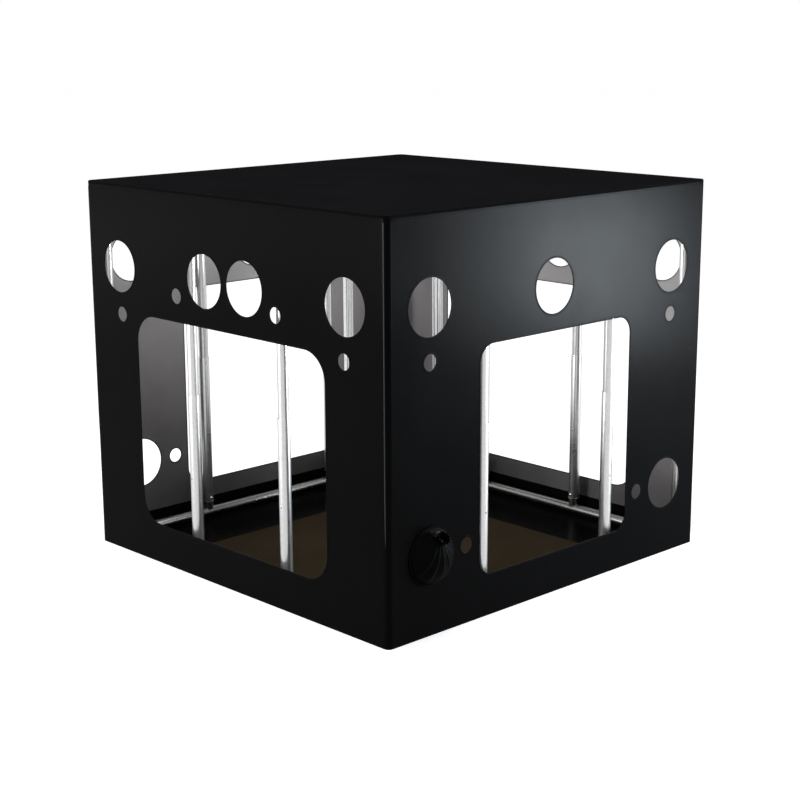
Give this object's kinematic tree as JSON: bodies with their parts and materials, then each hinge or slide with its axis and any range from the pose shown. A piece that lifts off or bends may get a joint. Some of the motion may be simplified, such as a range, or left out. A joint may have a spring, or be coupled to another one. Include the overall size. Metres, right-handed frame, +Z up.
{
  "type": "indoor grow tent",
  "caption": "Square black fabric grow tent with open doorways and round ports, on a plugged tube frame with sliding hanging bars and a floor mat.",
  "frame": {"origin": "on the ground under the middle of the tent, on the floor tub's underside", "axes": "+Z up; -Y faces out of the front wall; +X faces out of the right wall, which has the closed port sleeve"},
  "size_m": [1.2576, 1.2, 1.035],
  "materials": {
    "cover": "black coated woven fabric with a soft sheen",
    "tub": "black waterproof sheet",
    "mat": "dark brown woven mat",
    "tube": "bright plated steel tube",
    "button": "bright domed steel",
    "lock": "black moulded plastic"
  },
  "bodies": {
    "root": {"front_wall": "cover", "right_wall": "cover", "back_wall": "cover", "left_wall": "cover", "roof_panel": "cover", "port_sleeve": "cover", "floor_tub": "tub", "floor_mat": "mat", "bottom_rail_front": "tube", "bottom_rail_right": "tube", "bottom_rail_back": "tube", "bottom_rail_left": "tube", "top_rail_front": "tube", "top_rail_right": "tube", "top_rail_back": "tube", "top_rail_left": "tube", "bottom_corner_front_left": "tube", "bottom_corner_front_right": "tube", "bottom_corner_back_right": "tube", "bottom_corner_back_left": "tube", "top_corner_front_left": "tube", "top_corner_front_right": "tube", "top_corner_back_right": "tube", "top_corner_back_left": "tube", "corner_front_left_pole_lower": "tube", "corner_front_left_pole_upper": "tube", "corner_front_right_pole_lower": "tube", "corner_front_right_pole_upper": "tube", "corner_back_right_pole_lower": "tube", "corner_back_right_pole_upper": "tube", "corner_back_left_pole_lower": "tube", "corner_back_left_pole_upper": "tube", "front_mid_left_pole_lower": "tube", "front_mid_left_pole_upper": "tube", "front_mid_right_pole_lower": "tube", "front_mid_right_pole_upper": "tube", "right_mid_front_pole_lower": "tube", "right_mid_front_pole_upper": "tube", "right_mid_back_pole_lower": "tube", "right_mid_back_pole_upper": "tube", "back_mid_right_pole_lower": "tube", "back_mid_right_pole_upper": "tube", "back_mid_left_pole_lower": "tube", "back_mid_left_pole_upper": "tube", "left_mid_back_pole_lower": "tube", "left_mid_back_pole_upper": "tube", "left_mid_front_pole_lower": "tube", "left_mid_front_pole_upper": "tube", "sleeve_cord_lock": "lock"},
    "bar_left": {"hanging_bar_left": "tube"},
    "bar_right": {"hanging_bar_right": "tube"},
    "button_front_left": {"front_mid_left_pole_button": "button"},
    "button_front_right": {"front_mid_right_pole_button": "button"},
    "button_right_front": {"right_mid_front_pole_button": "button"},
    "button_right_back": {"right_mid_back_pole_button": "button"},
    "button_back_right": {"back_mid_right_pole_button": "button"},
    "button_back_left": {"back_mid_left_pole_button": "button"},
    "button_left_back": {"left_mid_back_pole_button": "button"},
    "button_left_front": {"left_mid_front_pole_button": "button"},
    "lock_button": {"sleeve_lock_button": "lock"}
  },
  "joints": [
    {"name": "bar_left_slide", "type": "slide", "parent": "root", "child": "bar_left", "axis": [1, 0, 0], "range_m": [-0.23, 0.23]},
    {"name": "bar_right_slide", "type": "slide", "parent": "root", "child": "bar_right", "axis": [1, 0, 0], "range_m": [-0.23, 0.23]},
    {"name": "button_front_left_press", "type": "slide", "parent": "root", "child": "button_front_left", "axis": [0, -1, 0], "range_m": [0, 0.004], "stiffness_N_per_m": 800, "springref_m": -0.002},
    {"name": "button_front_right_press", "type": "slide", "parent": "root", "child": "button_front_right", "axis": [0, -1, 0], "range_m": [0, 0.004], "stiffness_N_per_m": 800, "springref_m": -0.002},
    {"name": "button_right_front_press", "type": "slide", "parent": "root", "child": "button_right_front", "axis": [1, 0, 0], "range_m": [0, 0.004], "stiffness_N_per_m": 800, "springref_m": -0.002},
    {"name": "button_right_back_press", "type": "slide", "parent": "root", "child": "button_right_back", "axis": [1, 0, 0], "range_m": [0, 0.004], "stiffness_N_per_m": 800, "springref_m": -0.002},
    {"name": "button_back_right_press", "type": "slide", "parent": "root", "child": "button_back_right", "axis": [0, 1, 0], "range_m": [0, 0.004], "stiffness_N_per_m": 800, "springref_m": -0.002},
    {"name": "button_back_left_press", "type": "slide", "parent": "root", "child": "button_back_left", "axis": [0, 1, 0], "range_m": [0, 0.004], "stiffness_N_per_m": 800, "springref_m": -0.002},
    {"name": "button_left_back_press", "type": "slide", "parent": "root", "child": "button_left_back", "axis": [-1, 0, 0], "range_m": [0, 0.004], "stiffness_N_per_m": 800, "springref_m": -0.002},
    {"name": "button_left_front_press", "type": "slide", "parent": "root", "child": "button_left_front", "axis": [-1, 0, 0], "range_m": [0, 0.004], "stiffness_N_per_m": 800, "springref_m": -0.002},
    {"name": "lock_button_press", "type": "slide", "parent": "root", "child": "lock_button", "axis": [0, -1, 0], "range_m": [0, 0.003], "stiffness_N_per_m": 400, "springref_m": -0.001}
  ]
}
